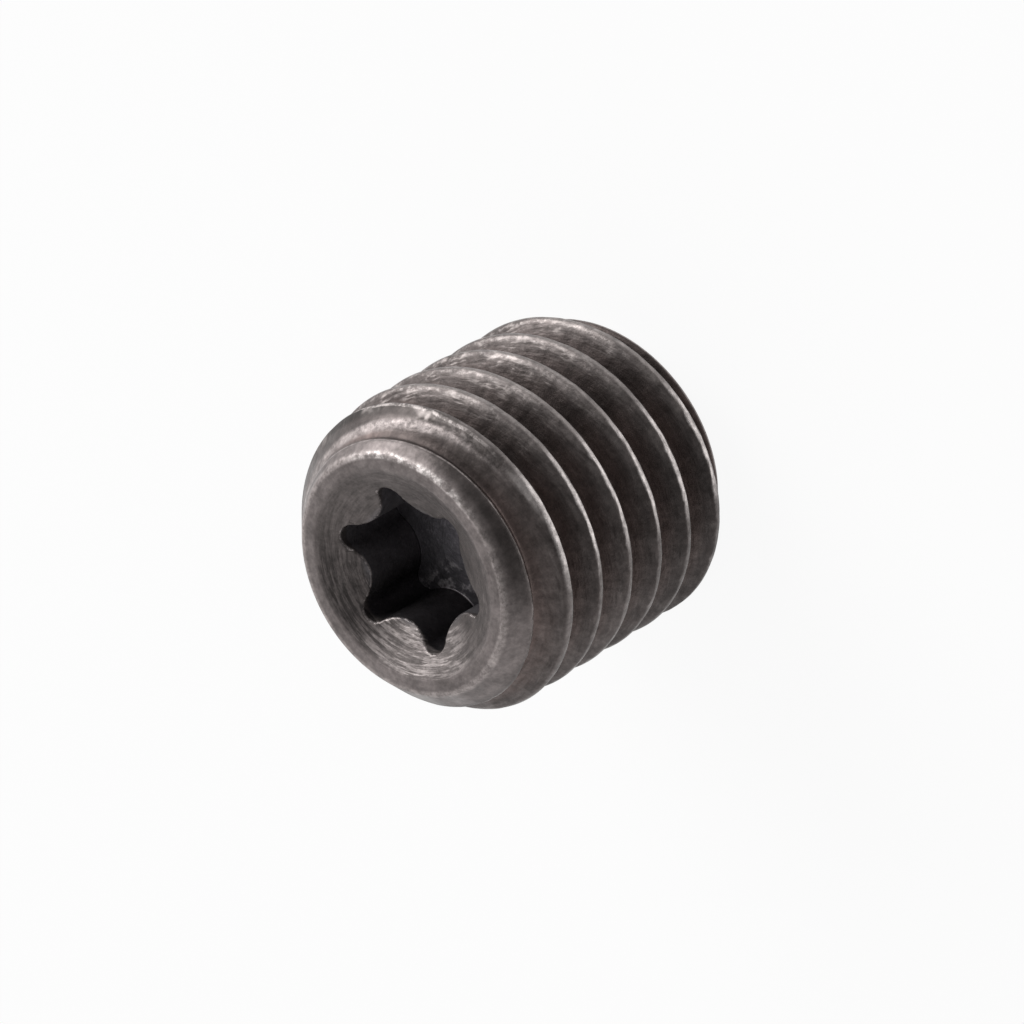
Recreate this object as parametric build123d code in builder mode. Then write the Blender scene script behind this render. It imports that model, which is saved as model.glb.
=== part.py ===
"""Bleed screw: a headless threaded plug that closes a bleed port.

It is one turned piece with a rolled 1/4-28 thread, a chamfer at each end, a flat end
and, in the other end, a countersunk six-lobe socket of size 15.
It stands on its flat end: Z runs along the axis towards the socket, and the origin
is the centre of the flat end.
"""

from build123d import *
import os
from math import ceil, cos, hypot, radians, sin, tan

# Thread: unified fine, 1/4 inch by 28 turns per inch, right-handed
MAJOR_DIAMETER = 6.35
THREAD_PITCH = 0.9071
FLANK_ANGLE = 30  # degrees between a flank and a plane across the axis
CREST_SHARE = 1 / 6  # crest flat, as a share of the pitch: a little worn
DEPTH_SHARE = 0.6134  # thread depth, as a share of the pitch
BORE_SHARE = 0.25  # bore that the thread's faces close round, as a share of the root radius
CORE_SHARE = 0.6  # core that fills the bore again, as a share of the root radius

# Body
LENGTH = 6.35
FACE_INSET = 0.21  # socket end: from the thread's root in to the edge of the face
FACE_CHAMFER_ANGLE = 40  # degrees from the axis
RING_WIDTH = 0.29  # flat ring between the socket end's chamfer and its countersink
POINT_INSET = 0.05  # flat end: from the thread's root in to the edge of the flat
POINT_CHAMFER_ANGLE = 45  # degrees from the axis

# Six-lobe socket, size 15
LOBES = 6
SOCKET_LOBE_DIAMETER = 3.35
SOCKET_VALLEY_DIAMETER = 2.40
LOBE_RADIUS = 0.267
SOCKET_DEPTH = 1.90
SOCKET_TURN = 54  # degrees from the thread's start to a lobe
COUNTERSINK_ANGLE = 130  # full angle of the cone

TURNING_CLEARANCE = 0.05  # how far the turned outline stands clear of the crests

major_radius = MAJOR_DIAMETER / 2
lobe_tip_radius = SOCKET_LOBE_DIAMETER / 2
valley_floor_radius = SOCKET_VALLEY_DIAMETER / 2
root_radius = major_radius - DEPTH_SHARE * THREAD_PITCH
face_radius = root_radius - FACE_INSET
point_radius = root_radius - POINT_INSET
countersink_radius = face_radius - RING_WIDTH
bore_radius = BORE_SHARE * root_radius
core_radius = CORE_SHARE * root_radius
half_mouth = (1 - CREST_SHARE) * THREAD_PITCH / 2
half_root = half_mouth - DEPTH_SHARE * THREAD_PITCH * tan(radians(FLANK_ANGLE))


def polar(radius, angle):
    """A point in the plane, from its distance to the axis and its angle in degrees."""
    return (radius * cos(radians(angle)), radius * sin(radians(angle)))


def valley_radius():
    """Radius of the convex arcs between lobes, tangent to the lobes' own arcs."""
    lobe_centre = lobe_tip_radius - LOBE_RADIUS
    along = lobe_centre * cos(radians(180 / LOBES))
    squares = LOBE_RADIUS**2 - lobe_centre**2 - valley_floor_radius**2
    rise = squares + 2 * valley_floor_radius * along
    return rise / (2 * (valley_floor_radius - along - LOBE_RADIUS))


def tangent_point(lobe_angle, valley_angle):
    """Where a lobe's arc passes into the arc of the valley beside it."""
    lobe_x, lobe_y = polar(lobe_tip_radius - LOBE_RADIUS, lobe_angle)
    valley_x, valley_y = polar(valley_floor_radius + valley_radius(), valley_angle)
    gap = hypot(valley_x - lobe_x, valley_y - lobe_y)
    step = LOBE_RADIUS / gap
    return (lobe_x + step * (valley_x - lobe_x), lobe_y + step * (valley_y - lobe_y))


def helix(radius, height):
    """One right-handed turn of the thread's pitch, from a height on the X axis."""
    return Edge.make_helix(THREAD_PITCH, THREAD_PITCH, radius, center=(0, 0, height))


def helical_face(lower, upper):
    """The face between two such turns, each given by its radius and its height."""
    return Face.make_surface_from_curves(helix(*lower), helix(*upper))


# Thread: one pitch of its profile, from a lower corner of the groove to the next turn's
thread_profile = [
    (root_radius, -half_root),
    (root_radius, half_root),
    (major_radius, half_mouth),
    (major_radius, THREAD_PITCH - half_mouth),
    (root_radius, THREAD_PITCH - half_root),
]
thread_bottom = -THREAD_PITCH
turns = ceil(LENGTH / THREAD_PITCH) + 2
thread_top = thread_bottom + turns * THREAD_PITCH

# Each turn adds its faces, and the first and last are closed down to the bore
thread_faces = []
for turn in range(turns):
    start = thread_bottom + turn * THREAD_PITCH
    corners = [(radius, start + height) for radius, height in thread_profile]
    for lower, upper in zip(corners, corners[1:]):
        thread_faces.append(helical_face(lower, upper))
    bore_start = (bore_radius, start - half_root)
    bore_end = (bore_radius, start + THREAD_PITCH - half_root)
    thread_faces.append(helical_face(bore_start, bore_end))
for end in (thread_bottom, thread_top):
    bore_start = (bore_radius, end - half_root)
    bore_end = (bore_radius, end + THREAD_PITCH - half_root)
    corners = [(radius, end + height) for radius, height in thread_profile]
    thread_faces.append(helical_face(bore_start, corners[0]))
    step = [(radius, 0, height) for radius, height in [bore_start, *corners, bore_end]]
    thread_faces.append(Face(Wire.make_polygon(step, close=True)))
thread = Solid(Shell(thread_faces))

with BuildPart() as bleed_screw:
    add(thread)
    with Locations((0, 0, thread_bottom)):
        core_length = thread_top + THREAD_PITCH - thread_bottom
        Cylinder(core_radius, core_length, align=(Align.CENTER, Align.CENTER, Align.MIN))

    # Ends: everything outside the turned outline is taken away
    outline_radius = major_radius + TURNING_CLEARANCE
    point_chamfer = (outline_radius - point_radius) / tan(radians(POINT_CHAMFER_ANGLE))
    face_chamfer = (outline_radius - face_radius) / tan(radians(FACE_CHAMFER_ANGLE))
    with BuildSketch(Plane.XZ):
        with BuildLine():
            Polyline(
                (0, 0),
                (point_radius, 0),
                (outline_radius, point_chamfer),
                (outline_radius, LENGTH - face_chamfer),
                (face_radius, LENGTH),
                (0, LENGTH),
                close=True,
            )
        make_face()
    revolve(axis=Axis.Z, mode=Mode.INTERSECT)

    # Countersink, then the socket below it
    cone_depth = countersink_radius / tan(radians(COUNTERSINK_ANGLE / 2))
    with BuildSketch(Plane.XZ):
        with BuildLine():
            Polyline(
                (0, LENGTH),
                (countersink_radius, LENGTH),
                (0, LENGTH - cone_depth),
                close=True,
            )
        make_face()
    revolve(axis=Axis.Z, mode=Mode.SUBTRACT)

    lobe_pitch = 360 / LOBES
    with BuildSketch(Plane.XY.offset(LENGTH)):
        with BuildLine():
            for lobe in range(LOBES):
                lobe_angle = SOCKET_TURN + lobe * lobe_pitch
                before = lobe_angle - lobe_pitch / 2
                after = lobe_angle + lobe_pitch / 2
                lobe_start = tangent_point(lobe_angle, before)
                lobe_end = tangent_point(lobe_angle, after)
                next_start = tangent_point(lobe_angle + lobe_pitch, after)
                ThreePointArc(lobe_start, polar(lobe_tip_radius, lobe_angle), lobe_end)
                ThreePointArc(lobe_end, polar(valley_floor_radius, after), next_start)
        make_face()
    extrude(amount=-SOCKET_DEPTH, mode=Mode.SUBTRACT)

os.makedirs("parts", exist_ok=True)
bleed_screw.part.label = "bleed_screw"
export_step(bleed_screw.part, "parts/bleed_screw.step")
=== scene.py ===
import math

import bpy
import numpy as np
from mathutils import Matrix, Vector


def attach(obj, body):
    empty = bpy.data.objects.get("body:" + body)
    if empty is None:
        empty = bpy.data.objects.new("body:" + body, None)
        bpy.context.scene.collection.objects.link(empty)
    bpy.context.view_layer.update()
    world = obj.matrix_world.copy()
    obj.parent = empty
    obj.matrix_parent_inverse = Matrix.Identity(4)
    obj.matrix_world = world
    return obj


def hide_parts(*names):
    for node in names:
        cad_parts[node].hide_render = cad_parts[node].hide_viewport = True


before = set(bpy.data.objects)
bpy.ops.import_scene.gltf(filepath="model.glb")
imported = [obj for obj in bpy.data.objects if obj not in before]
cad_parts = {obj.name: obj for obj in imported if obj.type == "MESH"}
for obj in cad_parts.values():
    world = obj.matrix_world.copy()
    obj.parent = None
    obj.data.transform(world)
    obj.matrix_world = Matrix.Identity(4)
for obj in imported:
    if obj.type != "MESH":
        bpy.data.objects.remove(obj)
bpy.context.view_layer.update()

# --- Dimensions of the screw, in millimetres, as in the part's source ---
MM = 0.001
MAJOR_RADIUS = 3.174  # 0.001 less than the source's, to stay inside its box
PITCH = 0.9071
THREAD_DEPTH = 0.6134 * PITCH
ROOT_RADIUS = MAJOR_RADIUS - THREAD_DEPTH
LENGTH = 6.35
FACE_RADIUS = ROOT_RADIUS - 0.21
FACE_CHAMFER_SLOPE = math.tan(math.radians(40))
POINT_RADIUS = ROOT_RADIUS - 0.05
POINT_CHAMFER_SLOPE = 1.0
RING_WIDTH = 0.29
SINK_RADIUS = FACE_RADIUS - RING_WIDTH
SINK_SLOPE = math.tan(math.radians(25))
FLANK_SLOPE = math.tan(math.radians(30))
CREST_WIDTH = PITCH / 6
HALF_MOUTH = (PITCH - CREST_WIDTH) / 2
HALF_ROOT = HALF_MOUTH - THREAD_DEPTH * FLANK_SLOPE
LOBES = 6
LOBE_TIP = 1.675
VALLEY_FLOOR = 1.20
LOBE_RADIUS = 0.267
LOBE_START = 54  # degrees
SOCKET_DEPTH = 1.90
SOCKET_FLOOR = LENGTH - SOCKET_DEPTH

# --- Wear and rounding that the source leaves sharp ---
ROOT_ROUNDING = 0.14
CREST_ROUNDING = 0.12
CHAMFER_ROUNDING = 0.13
FACE_ROUNDING = 0.15
SINK_ROUNDING = 0.14
POINT_ROUNDING = 0.06
RIM_ROUNDING = 0.03
RIM_FALL = 1.2  # how far the rounded rim drops, as a share of its width
RIM_CHIPS = 0.035
CREST_UNEVEN = 0.012  # how far the flanks and crests wander along the axis
FLOOR_ROUNDING = 0.015
# Waves that make an edge uneven: count round the axis, start, lean with height, share
WAVES = (
    (9, 0.4, 1.3, 0.30),
    (17, 2.1, -2.2, 0.25),
    (31, 4.4, 3.1, 0.20),
    (53, 1.2, -4.3, 0.15),
    (89, 5.0, 5.9, 0.10),
)
# Small dents in the first crest: angle in degrees, height, half width
DENTS = ((127.5, 5.56, 0.13), (106.5, 5.60, 0.10), (94.0, 5.61, 0.08))
DENT_DEPTH = 0.03

# --- Mesh ---
COLUMNS = 360
END_MARGIN = 0.09  # from each end to where the threaded side's rows stop
NEAR_END = 1e-4  # rows closer than this to the last one are dropped
# Heights of the mesh rows over half a pitch, from the groove's centre to the crest's
HALF_ROWS = [
    0.0, 0.03, 0.055, 0.08, 0.11, 0.15, 0.2, 0.25, 0.3, 0.335, 0.358, 0.372, 0.386, 0.405,
]
# Places of the rings, as shares of the way across each surface
SINK_SHARES = (0.12, 0.28, 0.44, 0.6, 0.74, 0.86, 0.95, 1.0)
WALL_SHARES = (0.04, 0.2, 0.4, 0.6, 0.8, 1.0)
FLOOR_SHARES = (0.97, 0.85, 0.65, 0.4, 0.15)
QUARTER_TURN = [share * math.pi / 2 for share in (0.25, 0.5, 0.75, 1.0)]
SINK_START = 0.12  # width of the countersink that its rounded edge takes
POINT_EDGE = 0.3  # width of the flat end that its rounded edge takes
POINT_RINGS = (1.6, 0.8, 0.3)  # radii
FACE_STEPS, POINT_STEPS = 6, 5  # spans of a rounded edge
ARC_POINTS = 200


def smooth_min(a, b, width):
    """The lower of two values, rounded over where they cross."""
    share = np.maximum(width - np.abs(a - b), 0) / width
    return np.minimum(a, b) - share * share * width / 4


def smooth_max(a, b, width):
    return -smooth_min(-a, -b, width)


def ragged(turn, height):
    """An uneven value between about -1 and 1, smooth over the surface."""
    return sum(share * np.sin(count * turn + start + lean * height) for count, start, lean, share in WAVES)


def outer_radius(height, turn):
    """Radius of the threaded side at a height and an angle in radians."""
    shift = (height / PITCH - turn / (2 * math.pi) + 0.5) % 1.0 - 0.5
    from_groove = np.abs(shift) * PITCH + CREST_UNEVEN * ragged(turn, height)
    flank = ROOT_RADIUS + (from_groove - HALF_ROOT) / FLANK_SLOPE
    radius = smooth_max(flank, ROOT_RADIUS, ROOT_ROUNDING)
    radius = smooth_min(radius, MAJOR_RADIUS, CREST_ROUNDING)
    face_chamfer = FACE_RADIUS + (LENGTH - height) * FACE_CHAMFER_SLOPE
    chamfer = np.minimum(face_chamfer, POINT_RADIUS + height * POINT_CHAMFER_SLOPE)
    radius = smooth_min(radius, chamfer, CHAMFER_ROUNDING)
    for angle, dent_height, half_width in DENTS:
        across = ((turn - math.radians(angle) + math.pi) % (2 * math.pi) - math.pi) * MAJOR_RADIUS
        away = np.hypot(across, height - dent_height) / half_width
        radius = radius - DENT_DEPTH * np.clip(1.5 - 1.5 * away, 0, 1)
    return radius


def round_path(points, radii, steps):
    """A polyline with its inner corners rounded. Points are (radius, height)."""
    path = [points[0]]
    for before, corner, after, radius in zip(points, points[1:], points[2:], radii):
        a, c, b = (Vector((*p, 0)) for p in (before, corner, after))
        into, out = (a - c).normalized(), (b - c).normalized()
        half = into.angle(out) / 2
        centre = c + (into + out).normalized() * (radius / math.sin(half))
        start = c + into * (radius / math.tan(half)) - centre
        end = c + out * (radius / math.tan(half)) - centre
        whole = start.angle(end)
        for step in range(steps + 1):
            share = step / steps
            start_part = math.sin((1 - share) * whole) / math.sin(whole)
            end_part = math.sin(share * whole) / math.sin(whole)
            p = centre + start * start_part + end * end_part
            path.append((p.x, p.y))
    path.append(points[-1])
    return path


def spokes(angles):
    """Unit vectors at angles in radians, one a row."""
    return np.stack([np.cos(angles), np.sin(angles)], axis=-1)


def half_lobe(count):
    """Evenly spaced points from a lobe's tip to a valley's floor, and their outward normals."""
    lobe_centre = LOBE_TIP - LOBE_RADIUS
    half_pitch = math.pi / LOBES
    along = lobe_centre * math.cos(half_pitch)
    valley = LOBE_RADIUS**2 - lobe_centre**2 - VALLEY_FLOOR**2 + 2 * VALLEY_FLOOR * along
    valley /= 2 * (VALLEY_FLOOR - along - LOBE_RADIUS)
    lobe_at = np.array([lobe_centre, 0.0])
    valley_at = (VALLEY_FLOOR + valley) * spokes(half_pitch)
    line = valley_at - lobe_at
    lobe_end = math.atan2(line[1], line[0])
    valley_start = math.atan2(-line[1], -line[0]) % (2 * math.pi)
    on_lobe = spokes(np.linspace(0, lobe_end, ARC_POINTS))
    on_valley = spokes(np.linspace(valley_start, math.pi + half_pitch, ARC_POINTS)[1:])
    points = np.concatenate([lobe_at + LOBE_RADIUS * on_lobe, valley_at + valley * on_valley])
    normals = np.concatenate([on_lobe, -on_valley])
    steps = np.linalg.norm(np.diff(points, axis=0), axis=1)
    length = np.concatenate([[0], np.cumsum(steps)])
    at = np.linspace(0, length[-1], count + 1)

    def spaced(values):
        return np.stack([np.interp(at, length, values[:, k]) for k in (0, 1)], axis=1)

    return spaced(points), spaced(normals)


def socket_outline(count):
    """Points of the six-lobe outline and their outward normals, from angle 0."""
    mirror = np.array([1.0, -1.0])
    turned = []
    for half in half_lobe(count // (2 * LOBES)):
        sector = np.concatenate([half[:0:-1] * mirror, half[:-1]])
        copies = []
        for lobe in range(LOBES):
            a = math.radians(LOBE_START + 360 / LOBES * lobe)
            turn = np.array([[math.cos(a), -math.sin(a)], [math.sin(a), math.cos(a)]])
            copies.append(sector @ turn.T)
        turned.append(np.concatenate(copies))
    points, normals = turned
    normals /= np.linalg.norm(normals, axis=1)[:, None]
    angle = np.degrees(np.arctan2(points[:, 1], points[:, 0])) % 360
    first = int(np.argmin(np.minimum(angle, 360 - angle)))
    return np.roll(points, -first, axis=0), np.roll(normals, -first, axis=0)


def sink_height(radius):
    """Height of the countersink's cone."""
    return LENGTH - (SINK_RADIUS - radius) * SINK_SLOPE


class Skin:
    """The screw's mesh: rings of points, in millimetres, and the faces between them."""

    def __init__(self):
        self.turns = 2 * math.pi * np.arange(COLUMNS) / COLUMNS
        self.cos, self.sin = np.cos(self.turns), np.sin(self.turns)
        self.coords, self.faces = [], []

    def points(self, x, y, z):
        start = sum(len(c) for c in self.coords)
        self.coords.append(np.stack([x, y, np.broadcast_to(z, x.shape)], axis=1))
        return start + np.arange(len(x))

    def circle(self, radius, z):
        return self.points(radius * self.cos, radius * self.sin, z)

    def bridge(self, lower, upper):
        """Faces between two rings. Gives the upper one back, to go on from."""
        self.faces += zip(lower, np.roll(lower, -1), np.roll(upper, -1), upper)
        return upper

    def close(self, ring, z, facing_down=False):
        """Faces from a ring to a point on the axis."""
        hub = self.points(np.zeros(1), np.zeros(1), z)
        first, second = ring, np.roll(ring, -1)
        if facing_down:
            first, second = second, first
        self.faces += zip(first, second, np.repeat(hub, COLUMNS))

    def threaded_side(self):
        """The thread and the outer parts of both chamfers. Gives its end rings."""
        rows_up = HALF_ROWS + [PITCH / 2] + [PITCH - h for h in HALF_ROWS[:0:-1]]
        per_turn = len(rows_up)
        rows = np.arange(-per_turn, math.ceil(LENGTH / PITCH + 1) * per_turn + 1)
        base = np.array([(r // per_turn) * PITCH + rows_up[r % per_turn] for r in rows])
        height = base[None, :] + PITCH * self.turns[:, None] / (2 * math.pi)
        low, high = END_MARGIN, LENGTH - END_MARGIN
        low_ring = self.circle(outer_radius(low, self.turns), low)
        high_ring = self.circle(outer_radius(high, self.turns), high)

        # Rows past an end share the ring there
        index = np.empty(height.shape, dtype=int)
        below, above = height <= low + NEAR_END, height >= high - NEAR_END
        column, row = np.nonzero(~below & ~above)
        z = height[column, row]
        r = outer_radius(z, self.turns[column])
        index[column, row] = self.points(r * self.cos[column], r * self.sin[column], z)
        index[below] = np.broadcast_to(low_ring[:, None], height.shape)[below]
        index[above] = np.broadcast_to(high_ring[:, None], height.shape)[above]

        # One turn on, each row meets the one that is a pitch higher
        after_last = np.concatenate([index[0][per_turn:], np.full(per_turn, high_ring[0])])
        for i in range(COLUMNS):
            here = index[i]
            there = index[i + 1] if i + 1 < COLUMNS else after_last
            for j in range(len(rows) - 1):
                quad = (here[j], there[j], there[j + 1], here[j + 1])
                corners = [v for k, v in enumerate(quad) if v != quad[k - 1]]
                if len(set(corners)) >= 3:
                    self.faces.append(corners)
        return low_ring, high_ring

    def socket_end(self, last):
        """Inner part of the chamfer, ring, countersink and socket, in from a ring."""
        path = round_path(
            [
                (FACE_RADIUS + END_MARGIN * FACE_CHAMFER_SLOPE, LENGTH - END_MARGIN),
                (FACE_RADIUS, LENGTH),
                (SINK_RADIUS, LENGTH),
                (SINK_RADIUS - SINK_START, sink_height(SINK_RADIUS - SINK_START)),
            ],
            [FACE_ROUNDING, SINK_ROUNDING],
            FACE_STEPS,
        )
        for radius, z in path[1:]:
            last = self.bridge(last, self.circle(radius, z))

        # Countersink, from a circle to the chipped outline of the socket
        outline, normals = socket_outline(COLUMNS)
        uneven = ragged(self.turns * 2, 0.0) + ragged(self.turns * 3, 1.0)
        rim_width = RIM_ROUNDING + RIM_CHIPS * np.maximum(uneven, 0)
        outer = np.stack([self.cos, self.sin], axis=1) * path[-1][0]
        rim_start = outline + normals * rim_width[:, None]
        for share in SINK_SHARES:
            p = outer + (rim_start - outer) * share
            z = sink_height(np.hypot(p[:, 0], p[:, 1]))
            last = self.bridge(last, self.points(p[:, 0], p[:, 1], z))

        # Rounded rim, wall, fillet and floor
        for a in QUARTER_TURN:
            p = outline + normals * (rim_width * (1 - math.sin(a)))[:, None]
            fall = rim_width * (1 - math.cos(a)) * RIM_FALL
            z = sink_height(np.hypot(p[:, 0], p[:, 1])) - fall
            last = self.bridge(last, self.points(p[:, 0], p[:, 1], z))
        wall_top = z
        for share in WALL_SHARES:
            z = wall_top + (SOCKET_FLOOR + FLOOR_ROUNDING - wall_top) * share
            last = self.bridge(last, self.points(outline[:, 0], outline[:, 1], z))
        for a in QUARTER_TURN:
            p = outline - normals * FLOOR_ROUNDING * (1 - math.cos(a))
            z = SOCKET_FLOOR + FLOOR_ROUNDING * (1 - math.sin(a))
            last = self.bridge(last, self.points(p[:, 0], p[:, 1], z))
        for share in FLOOR_SHARES:
            last = self.bridge(last, self.points(p[:, 0] * share, p[:, 1] * share, SOCKET_FLOOR))
        self.close(last, SOCKET_FLOOR)

    def flat_end(self, last):
        """Inner part of the other chamfer and the flat end, in from a ring."""
        path = round_path(
            [
                (POINT_RADIUS + END_MARGIN * POINT_CHAMFER_SLOPE, END_MARGIN),
                (POINT_RADIUS, 0.0),
                (POINT_RADIUS - POINT_EDGE, 0.0),
            ],
            [POINT_ROUNDING],
            POINT_STEPS,
        )
        for radius, z in path[1:] + [(radius, 0.0) for radius in POINT_RINGS]:
            ring = self.circle(radius, z)
            self.bridge(ring, last)
            last = ring
        self.close(last, 0.0, facing_down=True)


def build_screw():
    skin = Skin()
    low_ring, high_ring = skin.threaded_side()
    skin.socket_end(high_ring)
    skin.flat_end(low_ring)
    mesh = bpy.data.meshes.new("bleed_screw_body")
    faces = [list(map(int, face)) for face in skin.faces]
    mesh.from_pydata((np.concatenate(skin.coords) * MM).tolist(), [], faces)
    mesh.shade_smooth()
    mesh.update()
    screw = bpy.data.objects.new("bleed_screw_body", mesh)
    bpy.context.scene.collection.objects.link(screw)
    return screw


# --- Noises of the finish ---
# Drawn out round the axis: scale round it, scale across it, detail, roughness
MARKS = (3.0, 11.0, 4.0, 0.65)
FINE = (6.0, 30.0, 2.0, 0.5)
STREAKS = (5.0, 22.0, 2.0, 0.5)
DASHES = (8.0, 9.0, 3.0, 0.6)
FLECKS = (9.0, 36.0, 2.0, 0.6)
HEIGHT_SHARE = 0.8  # how far the height counts as a way across, beside the radius
# Even: scale to the millimetre, detail, roughness
GRAIN = (11.0, 5.0, 0.65)
CLUSTERS = (2.2, 2.0, 0.5)
LUMPS = (4.0, 3.0, 0.6)
NICKS = (7.0, 4.0, 0.7)
PATCHES = (1.3, 3.0, 0.55)

# --- Sides of the screw: middle, full within, gone beyond, in degrees round the axis ---
# The crests' lands get a painted highlight on this side
LAND_HIGHLIGHT_SIDE = (152, 5, 26)
WORN_BACK = (330, 20, 60)
LIT_SIDE = (238, 25, 70)
SHADED_SIDE = (204, 17, 38)
# The upper flanks get a painted highlight on this side
FLANK_HIGHLIGHT_SIDE = (186, 22, 48)
# The first ridge gets painted shade on this side
RIDGE_SHADE_SIDE = (230, 35, 80)
DARK_SIDE = (112, 30, 65)
# The chamfer gets painted shade on this side
CHAMFER_SHADE_SIDE = (170, 20, 50)
# The end face's ridge gets bright chips as a painted highlight on this side
RIDGE_HIGHLIGHT_SIDE = (208, 16, 42)
SCRATCHED_SIDE = (342, 15, 45)
# The countersink's turning arcs get painted glints on this side
ARC_GLINTS_SIDE = (44, 20, 50)
# The socket's wall gets painted shade on this side
WALL_SHADE_SIDE = (32, 35, 75)
# The socket's floor gets painted glints on this side
GLINTS_SIDE = (20, 14, 34)
# The socket floor's fillet gets a painted highlight on this side
FILLET_HIGHLIGHT_SIDE = (24, 10, 22)

# --- Colours of the finish, with painted light and shade ---
# Thread, with its oxide on, and painted light and shade
OXIDE = ((0.078, 0.065, 0.062, 1), (0.114, 0.097, 0.093, 1))
FIRST_TURN = (0.15, 0.129, 0.124, 1)
STREAKED = (0.035, 0.028, 0.026, 1)
DARK_END = (0.03, 0.025, 0.024, 1)
# Painted shade that dims the lamp's highlight on the first ridge
RIDGE_SHADE = (0.03, 0.025, 0.023, 1)
# Painted highlight on one side's upper flanks
FLANK_HIGHLIGHT = (0.195, 0.172, 0.165, 1)
# Roots: their oxide, lifted as painted light on most sides and darkened as painted shade on the shaded side
ROOT_OXIDE_AND_SHADE = ((0.13, 0.095, 0.087, 1), (0.05, 0.038, 0.035, 1))
# Scores on the flanks, with painted glints, strongest on the lit side
SCORES_AND_GLINTS = (0.42, 0.375, 0.36, 1)
# Turned surfaces
TURNED = ((0.142, 0.122, 0.118, 1), (0.198, 0.172, 0.167, 1))
SINK = (0.076, 0.066, 0.063, 1)
SCRATCHES = (0.03, 0.026, 0.025, 1)
# Painted glints on the countersink's turning arcs
ARC_GLINTS = (0.41, 0.366, 0.355, 1)
CHAMFER_STREAKS = (0.05, 0.044, 0.042, 1)
# Painted shade on one side of the chamfer
CHAMFER_SHADE = (0.05, 0.042, 0.04, 1)
# Socket
# Socket wall: a lit copy, and a dark copy as painted shade on one side
WALLS_LIT_AND_SHADED = ((0.17, 0.158, 0.166, 1), (0.06, 0.055, 0.058, 1))
# Socket floor, and painted glints on it
FLOOR_AND_GLINTS = ((0.19, 0.178, 0.196, 1), (0.6, 0.56, 0.58, 1))
# Fillet: dark as painted shade, and bright as a painted highlight on one side
FILLET_SHADE_AND_HIGHLIGHT = ((0.03, 0.027, 0.03, 1), (0.75, 0.7, 0.72, 1))
# Socket rim: bare worn steel, brightened as a painted highlight
RIM_WEAR_AND_HIGHLIGHT = (0.5, 0.45, 0.44, 1)
# Worn edges, with painted highlights
# Edges: worn steel, and bright chips as a painted highlight
EDGE_WEAR_AND_HIGHLIGHT = ((0.36, 0.318, 0.308, 1), (0.8, 0.74, 0.72, 1))
# Nicks: bare steel, shown only on the lit side as a painted highlight
NICKS_AND_HIGHLIGHT = (0.47, 0.425, 0.41, 1)
# Lands: bare worn steel, and a painted highlight on one side
LAND_WEAR_AND_HIGHLIGHT = (0.88, 0.81, 0.79, 1)


# --- Reach and strength of the wear and of the painted light and shade, with distances in millimetres ---
AXIS_CLEARANCE = 0.05  # inside this radius, the direction round the axis fades to none
NOISE_MIDDLE = 0.5
LAND_WANDER = 0.11  # how far the edges of the lands wander
LEAST_LAND = 0.16  # strength of the lands away from the painted highlight's side and the worn back
NICK_INSET = 0.02  # from the crest's edge in to its nicks
NICK_WANDER = 0.16
BROW_DROP = 0.08  # from the crest's radius down to the nicks at the chamfer
BROW_WANDER = 0.4  # share of the other nicks' wander
ROOT_REACH = 0.1  # from the root's radius up to where its colour, oxide with painted shade, starts to fade
SHADED_REACH = 0.1  # how much further up that is on the shaded side
# Strengths of the scores' painted glints on the lit side and on other sides
LIT_SCORES = 0.8
OTHER_SCORES = 0.12
# Strength of the chamfer's painted shade
CHAMFER_SHADE_STRENGTH = 0.8
FILLET_STRENGTH = 0.8

# --- Shader ---
METALLIC = 0.75
ROUGHNESS = (0.38, 0.52)
LAND_POLISH = 0.16  # how much less rough the lands are
SPECKLE = (0.84, 1.16)  # darkest and brightest
TURNING_BUMP = (0.6, 0.018 * MM)  # strength, depth in metres
GRAIN_BUMP = (0.5, 0.012 * MM)
STREAKS_IN_BUMP = 0.6  # beside the marks
LUMPS_IN_BUMP = 1.5  # beside the grain


def new_material(name):
    material = bpy.data.materials.new(name)
    material.use_nodes = True
    material.node_tree.nodes.clear()
    return material, Graph(material.node_tree)


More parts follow.
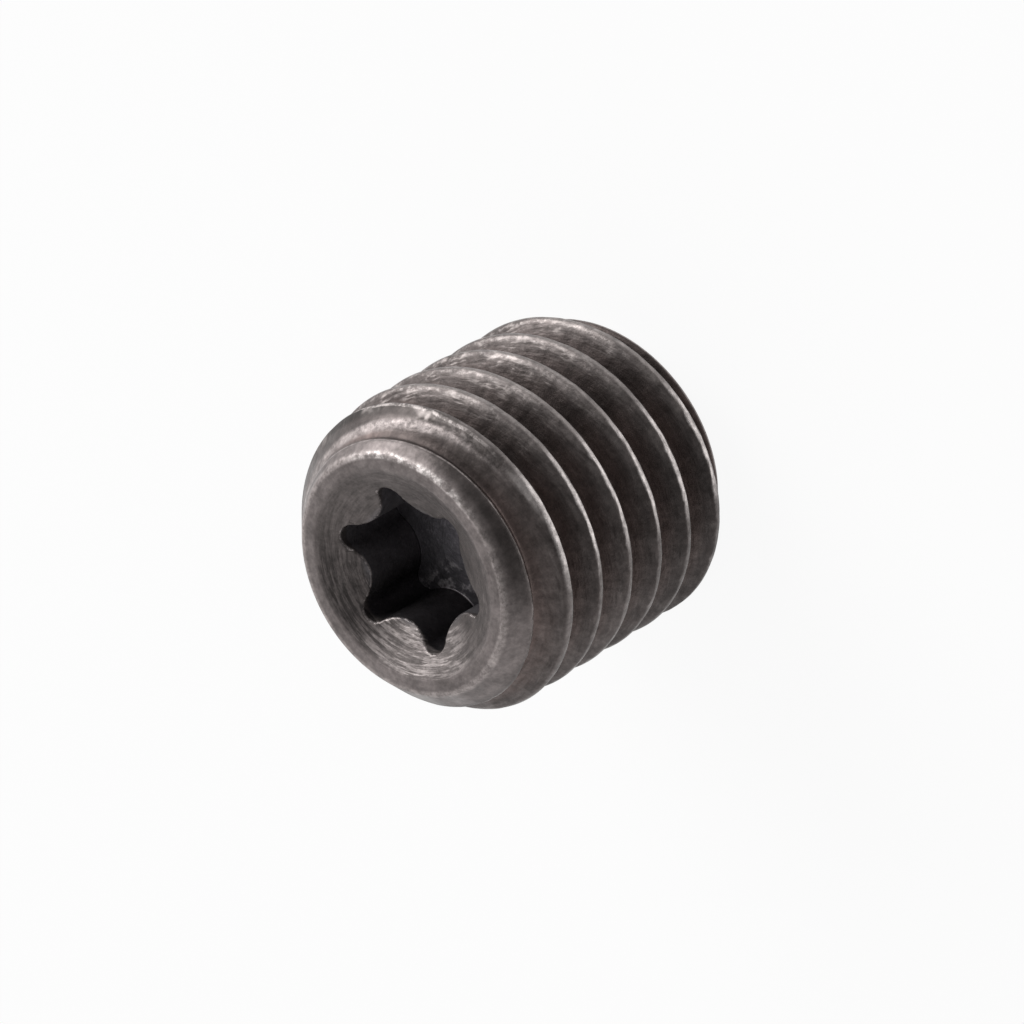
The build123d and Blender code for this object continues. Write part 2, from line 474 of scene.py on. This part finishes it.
class Graph:
    """Short calls for building a node tree."""

    def __init__(self, tree):
        self.tree = tree

    def node(self, kind):
        return self.tree.nodes.new("ShaderNode" + kind)

    def put(self, socket, value):
        if isinstance(value, bpy.types.NodeSocket):
            self.tree.links.new(value, socket)
        else:
            socket.default_value = value

    def math(self, operation, *values):
        node = self.node("Math")
        node.operation = operation
        for socket, value in zip(node.inputs, values):
            self.put(socket, value)
        return node.outputs[0]

    def add(self, a, b):
        return self.math("ADD", a, b)

    def take(self, a, b):
        return self.math("SUBTRACT", a, b)

    def times(self, first, *others):
        for other in others:
            first = self.math("MULTIPLY", first, other)
        return first

    def most(self, a, b):
        return self.math("MAXIMUM", a, b)

    def size(self, value):
        return self.math("ABSOLUTE", value)

    def step(self, value, low, high, to_low=0.0, to_high=1.0):
        """A smooth change from one value to another, between low and high."""
        node = self.node("MapRange")
        node.interpolation_type = "SMOOTHSTEP"
        for socket, given in zip(node.inputs, (value, low, high, to_low, to_high)):
            self.put(socket, given)
        return node.outputs[0]

    def fade(self, value, low, high):
        """1 up to low, and 0 from high on."""
        return self.step(value, low, high, 1.0, 0.0)

    def between(self, value, start, full, fading, gone):
        """1 from full to fading, and 0 outside start and gone."""
        return self.times(self.step(value, start, full), self.fade(value, fading, gone))

    def noise(self, vector, scale, detail, roughness):
        node = self.node("TexNoise")
        given = {"Vector": vector, "Scale": scale, "Detail": detail, "Roughness": roughness}
        for name, value in given.items():
            self.put(node.inputs[name], value)
        return node.outputs[0]

    def vector(self, x, y, z):
        node = self.node("CombineXYZ")
        for socket, value in zip(node.inputs, (x, y, z)):
            self.put(socket, value)
        return node.outputs[0]

    def scaled(self, vector, factor):
        node = self.node("VectorMath")
        node.operation = "SCALE"
        self.put(node.inputs[0], vector)
        self.put(node.inputs["Scale"], factor)
        return node.outputs[0]

    def mix(self, share, a, b):
        node = self.node("Mix")
        node.data_type = "RGBA"
        self.put(node.inputs["Factor"], share)
        self.put(node.inputs[6], a)
        self.put(node.inputs[7], b)
        return node.outputs[2]

    def bump(self, height, strength, distance, normal=None):
        node = self.node("Bump")
        node.inputs["Strength"].default_value = strength
        node.inputs["Distance"].default_value = distance
        self.put(node.inputs["Height"], height)
        if normal is not None:
            self.put(node.inputs["Normal"], normal)
        return node.outputs[0]


class Surface:
    """Where a point lies on the screw, in millimetres, and the noises there."""

    def __init__(self, g):
        self.g = g
        mm = g.scaled(g.node("TexCoord").outputs["Object"], 1 / MM)
        split = g.node("SeparateXYZ")
        g.put(split.inputs[0], mm)
        x, y, self.z = split.outputs
        self.radius = g.math("SQRT", g.add(g.times(x, x), g.times(y, y)))
        off_axis = g.most(self.radius, AXIS_CLEARANCE)
        self.cos, self.sin = g.math("DIVIDE", x, off_axis), g.math("DIVIDE", y, off_axis)

        # Distance along the axis from the middle of the groove, at any angle
        turn = g.math("DIVIDE", g.math("ARCTAN2", y, x), 2 * math.pi)
        shift = g.math("FRACT", g.add(g.take(g.math("DIVIDE", self.z, PITCH), turn), 0.5))
        self.groove = g.times(g.take(shift, 0.5), PITCH)
        self.from_middle = g.size(self.groove)

        # The chamfers' cones, carried on over the thread
        self.face_cone = g.add(g.times(g.take(LENGTH, self.z), FACE_CHAMFER_SLOPE), FACE_RADIUS)
        self.point_cone = g.add(g.times(self.z, POINT_CHAMFER_SLOPE), POINT_RADIUS)
        self.inside_cone = g.take(g.math("MINIMUM", self.face_cone, self.point_cone), self.radius)

        self.across = g.add(self.radius, g.times(self.z, HEIGHT_SHARE))
        self.marks, self.fine, self.streaks, self.dashes, self.flecks = (
            self.drawn_out(*noise) for noise in (MARKS, FINE, STREAKS, DASHES, FLECKS)
        )
        self.grain, self.clusters, self.lumps, self.nicks, self.patches = (
            g.noise(mm, *noise) for noise in (GRAIN, CLUSTERS, LUMPS, NICKS, PATCHES)
        )

    def drawn_out(self, around, across, detail, roughness):
        """A noise drawn out round the axis, like marks of turning and rolling."""
        g = self.g
        place = g.vector(g.times(self.cos, around), g.times(self.sin, around), g.times(self.across, across))
        return g.noise(place, 1.0, detail, roughness)

    def side(self, middle, near, far):
        """1 within an angle of a direction round the axis, and 0 beyond a wider one."""
        g = self.g
        a = math.radians(middle)
        along = g.add(g.times(self.cos, math.cos(a)), g.times(self.sin, math.sin(a)))
        return g.step(along, math.cos(math.radians(far)), math.cos(math.radians(near)))


# --- Where each kind of wear and painted light and shade lies, and its colour ---
# The numbers of a step or a fade are where it starts and ends, in millimetres or as a
# noise's value. A step's two others are its strengths there.
def turned_mask(g, s):
    """1 on the ends, their chamfers and the socket, and 0 on the rolled thread."""
    chamfers = g.times(g.fade(s.inside_cone, 0.02, 0.08), g.step(s.radius, 2.78, 2.95, 1.0, 0.1))
    return g.most(chamfers, g.fade(s.radius, ROOT_RADIUS - 0.14, ROOT_RADIUS - 0.05))


def land_mask(g, s, on_cone):
    """Worn lands along the crests, wider on the first, with a painted highlight that makes them brightest on
    one side.
    """
    uneven = g.times(g.take(g.add(s.streaks, s.flecks), 2 * NOISE_MIDDLE), LAND_WANDER)
    from_crest = g.add(g.take(PITCH / 2, s.from_middle), uneven)
    reach = g.step(s.z, LENGTH - 1.5, LENGTH - 1.2, 0.07, 0.15)
    on_top = g.step(s.radius, MAJOR_RADIUS - 0.07, MAJOR_RADIUS - 0.02)
    land = g.times(g.fade(from_crest, 0.02, reach), on_top)
    brink = g.step(g.add(s.radius, uneven), MAJOR_RADIUS - 0.2, MAJOR_RADIUS - 0.08, 0.0, 0.85)
    brink = g.times(brink, on_cone, g.step(s.z, LENGTH - 1.15, LENGTH - 1.05))
    worn_back = g.times(s.side(*WORN_BACK), g.step(s.patches, 0.4, 0.6))
    # A painted highlight on one side's lands, and real wear in patches on the back
    wear_and_highlight = g.most(s.side(*LAND_HIGHLIGHT_SIDE), worn_back)
    land = g.times(land, g.add(g.times(wear_and_highlight, 1 - LEAST_LAND), LEAST_LAND))
    land = g.most(land, g.times(brink, wear_and_highlight))
    return g.times(land, g.step(s.nicks, 0.35, 0.6, 0.6, 1.0), g.step(s.dashes, 0.35, 0.55, 0.75, 1.0))


def lit_nicks_mask(g, s, on_cone, lit):
    """Bright nicks just inside the crests' edge and on the chamfer's brow, kept to the lit side as a painted
    highlight over the wear.
    """
    wander = g.times(g.take(s.dashes, NOISE_MIDDLE), NICK_WANDER)
    shoulder = g.size(g.add(g.add(s.groove, HALF_MOUTH - NICK_INSET), wander))
    nicked = g.times(g.fade(shoulder, 0.006, 0.035), g.step(s.nicks, 0.44, 0.62, 0.05, 0.42))
    nicked = g.times(nicked, g.step(s.radius, MAJOR_RADIUS - 0.16, MAJOR_RADIUS - 0.08))
    brow = g.size(g.add(g.take(s.radius, MAJOR_RADIUS - BROW_DROP), g.times(wander, BROW_WANDER)))
    brow = g.times(g.fade(brow, 0.008, 0.03), on_cone, g.step(s.nicks, 0.42, 0.58, 0.2, 1.0))
    # Painted highlight: the nicks show only on the lit side
    return g.times(g.most(nicked, brow), lit)


def root_mask(g, s, shaded):
    """Where the roots' colour goes, their oxide with painted shade: up the flanks, further on the shaded
    side, and in the first groove.
    """
    start = g.add(g.times(shaded, SHADED_REACH), ROOT_RADIUS + ROOT_REACH)
    root = g.fade(s.radius, start, ROOT_RADIUS + 0.46)
    root = g.times(root, g.step(s.z, LENGTH - 1.0, LENGTH - 0.55, 0.8, 0.2))
    first = g.times(g.step(s.from_middle, 0.05, 0.28, 0.85, 0.0), g.step(s.z, LENGTH - 1.0, LENGTH - 0.7))
    return g.most(root, first)


def edge_masks(g, s):
    """Worn edges, lighter also as a painted highlight: where the groove cuts the chamfer, the ridge round
    the end face and the flat end's edge; bright chips on the ridge, only on one side, are a painted
    highlight.
    """
    flank = g.add(g.math("DIVIDE", g.take(s.from_middle, HALF_ROOT), FLANK_SLOPE), ROOT_RADIUS)
    # Painted highlight where the groove cuts the chamfer, as the edge catches the light
    corner = g.fade(g.size(g.take(flank, s.face_cone)), 0.02, 0.09)
    corner = g.times(corner, g.fade(s.inside_cone, 0.03, 0.1), g.step(s.z, LENGTH - 0.9, LENGTH - 0.8))
    corner = g.times(corner, g.step(s.radius, 2.92, 3.0, 1.0, 0.3))
    ridge = g.fade(g.size(g.take(s.radius, FACE_RADIUS - 0.01)), 0.03, 0.1)
    ridge = g.times(ridge, g.step(s.z, LENGTH - 0.2, LENGTH - 0.1))
    edges = g.times(g.most(corner, ridge), g.step(s.nicks, 0.36, 0.62, 0.25, 1.0))
    point_edge = g.fade(g.take(s.point_cone, s.radius), 0.01, 0.05)
    point_edge = g.times(point_edge, g.step(s.z, 0.02, 0.06))
    # Bright chips on the ridge, only on one side: a painted highlight
    chips_and_highlight = g.times(g.step(s.lumps, 0.44, 0.58, 0.1, 1.0), g.times(ridge, s.side(*RIDGE_HIGHLIGHT_SIDE)))
    return g.most(edges, point_edge), chips_and_highlight


def thread_colour(g, s, lit):
    """Oxide on the thread; in the roots painted shade over it, and painted light where lifted; a painted
    highlight on one side's flanks, painted shade over the first ridge's lit side, and scores with painted
    glints on the flanks.
    """
    colour = g.mix(g.step(s.patches, 0.35, 0.65), *OXIDE)
    first = g.times(g.step(s.z, LENGTH - 1.1, LENGTH - 0.7, 0.0, 0.6), g.step(s.radius, 2.75, 3.0, 1.0, 0.3))
    colour = g.mix(first, colour, FIRST_TURN)
    colour = g.mix(g.step(s.streaks, 0.3, 0.45, 0.5, 0.0), colour, STREAKED)
    dark_end = g.times(s.side(*DARK_SIDE), g.step(s.z, 1.5, 3.8, 0.45, 0.0))
    colour = g.mix(dark_end, colour, DARK_END)
    # Painted shade over the first ridge's lit side, broken by streaks, to dim the lamp's highlight there
    ridge_shade = g.times(g.step(s.z, LENGTH - 1.0, LENGTH - 0.8), g.step(s.radius, 2.9, 3.0))
    ridge_shade = g.times(ridge_shade, s.side(*RIDGE_SHADE_SIDE), g.step(s.streaks, 0.35, 0.6, 1.0, 0.65))
    colour = g.mix(ridge_shade, colour, RIDGE_SHADE)
    # Painted highlight: upper flanks lighter on one side, broken by streaks, weaker on the first turn
    flank_highlight = g.times(s.side(*FLANK_HIGHLIGHT_SIDE), g.step(s.radius, ROOT_RADIUS + 0.34, ROOT_RADIUS + 0.5))
    flank_highlight = g.times(flank_highlight, g.step(s.streaks, 0.35, 0.6, 0.3, 0.8))
    flank_highlight = g.times(flank_highlight, g.step(s.z, LENGTH - 1.2, LENGTH - 1.05, 1.0, 0.3))
    colour = g.mix(flank_highlight, colour, FLANK_HIGHLIGHT)
    # Roots: oxide with painted shade, darker on the shaded side and lifted as painted light elsewhere
    shaded = s.side(*SHADED_SIDE)
    colour = g.mix(root_mask(g, s, shaded), colour, g.mix(shaded, *ROOT_OXIDE_AND_SHADE))
    # Scores on the upper flanks, made bright as painted glints, far stronger on the lit side
    scores_and_glints = g.times(g.step(s.flecks, 0.45, 0.68), g.step(s.clusters, 0.46, 0.6, 0.15, 0.8))
    scores_and_glints = g.times(scores_and_glints, g.add(g.times(lit, LIT_SCORES), OTHER_SCORES))
    scores_and_glints = g.times(scores_and_glints, g.step(s.radius, ROOT_RADIUS + 0.25, ROOT_RADIUS + 0.42))
    return g.mix(scores_and_glints, colour, SCORES_AND_GLINTS)


def turned_colour(g, s):
    """Turned steel of the ends, with the countersink's scratches, painted glints on its turning arcs on one
    side, and painted shade on one side of the chamfer.
    """
    in_sink = g.fade(s.radius, SINK_RADIUS - 0.12, SINK_RADIUS + 0.02)
    in_sink = g.times(in_sink, g.step(s.z, LENGTH - 0.5, LENGTH - 0.45))
    colour = g.mix(g.step(s.patches, 0.3, 0.7), *TURNED)
    colour = g.mix(g.times(in_sink, g.step(s.marks, 0.35, 0.65, 0.8, 0.35)), colour, SINK)
    scratched = g.times(s.side(*SCRATCHED_SIDE), g.step(s.marks, 0.42, 0.55, 0.6, 0.0))
    colour = g.mix(g.times(in_sink, scratched), colour, SCRATCHES)
    # Painted glints on the countersink's turning arcs, on one side
    arcs = g.times(s.side(*ARC_GLINTS_SIDE), g.step(s.marks, 0.45, 0.6, 0.15, 0.9))
    colour = g.mix(g.times(in_sink, arcs), colour, ARC_GLINTS)
    on_chamfer = g.times(g.step(s.streaks, 0.3, 0.6, 0.95, 0.6), g.step(s.radius, 2.7, 2.9))
    colour = g.mix(on_chamfer, colour, CHAMFER_STREAKS)
    # Painted shade on one side of the chamfer
    chamfer_shade = g.times(g.step(s.radius, FACE_RADIUS + 0.07, FACE_RADIUS + 0.17), s.side(*CHAMFER_SHADE_SIDE))
    return g.mix(g.times(chamfer_shade, CHAMFER_SHADE_STRENGTH), colour, CHAMFER_SHADE)


def add_socket(g, s, base):
    """The socket's wall with painted shade on one side, its floor with painted glints, its fillet with
    painted shade and a painted highlight, and its rim with chips, wear and a painted highlight, over the
    colour given.
    """
    within = g.fade(s.radius, LOBE_TIP + 0.03, LOBE_TIP + 0.1)
    in_socket = g.times(within, g.fade(s.z, LENGTH - 0.45, LENGTH - 0.36))
    # Socket wall, with painted shade on one side
    base = g.mix(in_socket, base, g.mix(s.side(*WALL_SHADE_SIDE), *WALLS_LIT_AND_SHADED))
    at_floor = g.times(in_socket, g.fade(s.z, SOCKET_FLOOR + 0.004, SOCKET_FLOOR + 0.015))
    # Painted glints on one side of the socket's floor
    glints = g.times(s.side(*GLINTS_SIDE), g.step(s.lumps, 0.46, 0.62), g.step(s.radius, 0.6, 0.8))
    base = g.mix(at_floor, base, g.mix(glints, *FLOOR_AND_GLINTS))
    # Painted shade in the floor's fillet, with a painted highlight on one side
    fillet = g.between(g.take(s.z, SOCKET_FLOOR), 0.0003, 0.0015, 0.015, 0.03)
    fillet = g.times(fillet, in_socket, FILLET_STRENGTH)
    base = g.mix(fillet, base, g.mix(s.side(*FILLET_HIGHLIGHT_SIDE), *FILLET_SHADE_AND_HIGHLIGHT))
    # The socket's rounded rim: wear and a painted highlight, broken by nicks
    cone = g.add(g.times(s.radius, SINK_SLOPE), LENGTH - SINK_RADIUS * SINK_SLOPE)
    rim = g.times(g.between(g.take(cone, s.z), 0.003, 0.012, 0.03, 0.06), within)
    return g.mix(g.times(rim, g.step(s.nicks, 0.45, 0.6, 0.05, 0.7)), base, RIM_WEAR_AND_HIGHLIGHT)


def oxide_material():
    material, g = new_material("black_oxide_steel")
    s = Surface(g)
    on_cone = g.fade(s.inside_cone, 0.02, 0.05)
    lit = s.side(*LIT_SIDE)
    land = land_mask(g, s, on_cone)
    edges, chips_and_highlight = edge_masks(g, s)

    base = g.mix(turned_mask(g, s), thread_colour(g, s, lit), turned_colour(g, s))
    base = add_socket(g, s, base)
    # Edges, nicks and lands: wear, with painted highlights
    base = g.mix(edges, base, g.mix(chips_and_highlight, *EDGE_WEAR_AND_HIGHLIGHT))
    base = g.mix(lit_nicks_mask(g, s, on_cone, lit), base, NICKS_AND_HIGHLIGHT)
    base = g.mix(land, base, LAND_WEAR_AND_HIGHLIGHT)
    speckle = g.times(g.step(s.grain, 0.3, 0.7, *SPECKLE), g.step(s.lumps, 0.3, 0.7, *SPECKLE))
    base = g.scaled(base, speckle)

    rough = g.take(g.step(s.fine, 0.3, 0.7, *ROUGHNESS), g.times(land, LAND_POLISH))
    bump = g.bump(g.add(s.marks, g.times(s.streaks, STREAKS_IN_BUMP)), *TURNING_BUMP)
    bump = g.bump(g.add(s.grain, g.times(s.lumps, LUMPS_IN_BUMP)), *GRAIN_BUMP, bump)

    shader = g.node("BsdfPrincipled")
    shader.inputs["Metallic"].default_value = METALLIC
    g.put(shader.inputs["Base Color"], base)
    g.put(shader.inputs["Roughness"], rough)
    g.put(shader.inputs["Normal"], bump)
    g.put(g.node("OutputMaterial").inputs["Surface"], shader.outputs[0])
    return material


def seen_rays(g):
    """1 for rays from the camera and for mirror and glass rays, so that all see the backdrop."""
    path = g.node("LightPath")
    seen = g.most(path.outputs["Is Camera Ray"], path.outputs["Is Glossy Ray"])
    return g.most(seen, path.outputs["Is Transmission Ray"])


FLOOR_COLOUR = (0.85, 0.85, 0.85, 1)
FLOOR_WHITE = 0.92  # how far the floor is plain white to such rays; the rest keeps the shadow


def floor_material():
    material, g = new_material("studio_floor")
    matte = g.node("BsdfDiffuse")
    matte.inputs["Color"].default_value = FLOOR_COLOUR
    glow = g.node("Emission")
    glow.inputs["Color"].default_value = (1, 1, 1, 1)
    glow.inputs["Strength"].default_value = 1.0
    mix = g.node("MixShader")
    g.put(mix.inputs[0], g.times(seen_rays(g), FLOOR_WHITE))
    g.put(mix.inputs[1], matte.outputs[0])
    g.put(mix.inputs[2], glow.outputs[0])
    g.put(g.node("OutputMaterial").inputs["Surface"], mix.outputs[0])
    return material


screw = build_screw()
screw.data.materials.append(oxide_material())
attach(screw, "root")
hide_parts("bleed_screw")

# --- Stage ---
FLOOR_SIZE = 3.0
FLOOR_DROP = 0.00001
floor_mesh = bpy.data.meshes.new("floor")
half = FLOOR_SIZE / 2
floor_corners = [(-half, -half, 0), (half, -half, 0), (half, half, 0), (-half, half, 0)]
floor_mesh.from_pydata(floor_corners, [], [(0, 1, 2, 3)])
floor = bpy.data.objects.new("floor", floor_mesh)
floor.location.z = -FLOOR_DROP
floor_mesh.materials.append(floor_material())
bpy.context.scene.collection.objects.link(floor)

# --- Camera: the photo's angle, with the screw's axis turned in the picture ---
AZIMUTH = math.radians(162.9)
ELEVATION = math.radians(44.25)
ROLL = math.radians(120.44)
DISTANCE = 0.119
FOCAL_LENGTH = 221.5
SENSOR_WIDTH = 36
AIM_RIGHT = 0.000087
AIM_UP = 0.000036

level_share, rise = math.cos(ELEVATION), math.sin(ELEVATION)
back = Vector((level_share * math.cos(AZIMUTH), level_share * math.sin(AZIMUTH), rise))
level = Vector((-math.sin(AZIMUTH), math.cos(AZIMUTH), 0))
upright = (Vector((0, 0, 1)) - back * back.z).normalized()
right = math.cos(ROLL) * level - math.sin(ROLL) * upright
up = math.sin(ROLL) * level + math.cos(ROLL) * upright
centre = Vector((0, 0, LENGTH * MM / 2))

camera_data = bpy.data.cameras.new("camera")
camera_data.lens = FOCAL_LENGTH
camera_data.sensor_width = SENSOR_WIDTH
camera_data.clip_start = 0.005
camera_data.clip_end = 10
camera_data.dof.use_dof = False
camera = bpy.data.objects.new("camera", camera_data)
eye = centre + right * AIM_RIGHT + up * AIM_UP + back * DISTANCE
camera.matrix_world = Matrix.Translation(eye) @ Matrix((right, up, back)).transposed().to_4x4()
bpy.context.scene.collection.objects.link(camera)
bpy.context.scene.camera = camera

# --- Key lamp: its direction is given as right, up and towards the camera ---
KEY_RIGHT, KEY_UP, KEY_BACK = -0.74, 0.64, 0.2
KEY_DISTANCE = 0.3
KEY_SIZE = 0.26
KEY_POWER = 0.78

key_data = bpy.data.lights.new("key", "AREA")
key_data.shape = "DISK"
key_data.size = KEY_SIZE
key_data.energy = KEY_POWER
key = bpy.data.objects.new("key", key_data)
key_side = (right * KEY_RIGHT + up * KEY_UP + back * KEY_BACK).normalized()
key.location = centre + key_side * KEY_DISTANCE
key.rotation_euler = key_side.to_track_quat("Z", "Y").to_euler()
bpy.context.scene.collection.objects.link(key)

# --- World: pale all round, and dark on the side that the picture is taken from ---
WORLD_PALE, WORLD_DARK = 0.98, 0.2
DARK_FROM, DARK_FULL = 0.1, 0.9  # cosines of the angle to the camera's side

world = bpy.data.worlds.new("studio")
bpy.context.scene.world = world
world.use_nodes = True
world.node_tree.nodes.clear()
g = Graph(world.node_tree)
facing = g.node("VectorMath")
facing.operation = "DOT_PRODUCT"
g.put(facing.inputs[0], g.node("TexCoord").outputs["Generated"])
facing.inputs[1].default_value = back
background = g.node("Background")
background.inputs["Color"].default_value = (1, 1, 1, 1)
strength = g.step(facing.outputs["Value"], DARK_FROM, DARK_FULL, WORLD_PALE, WORLD_DARK)
g.put(background.inputs["Strength"], strength)
g.put(g.node("OutputWorld").inputs["Surface"], background.outputs[0])

bpy.context.scene.view_settings.view_transform = "Standard"
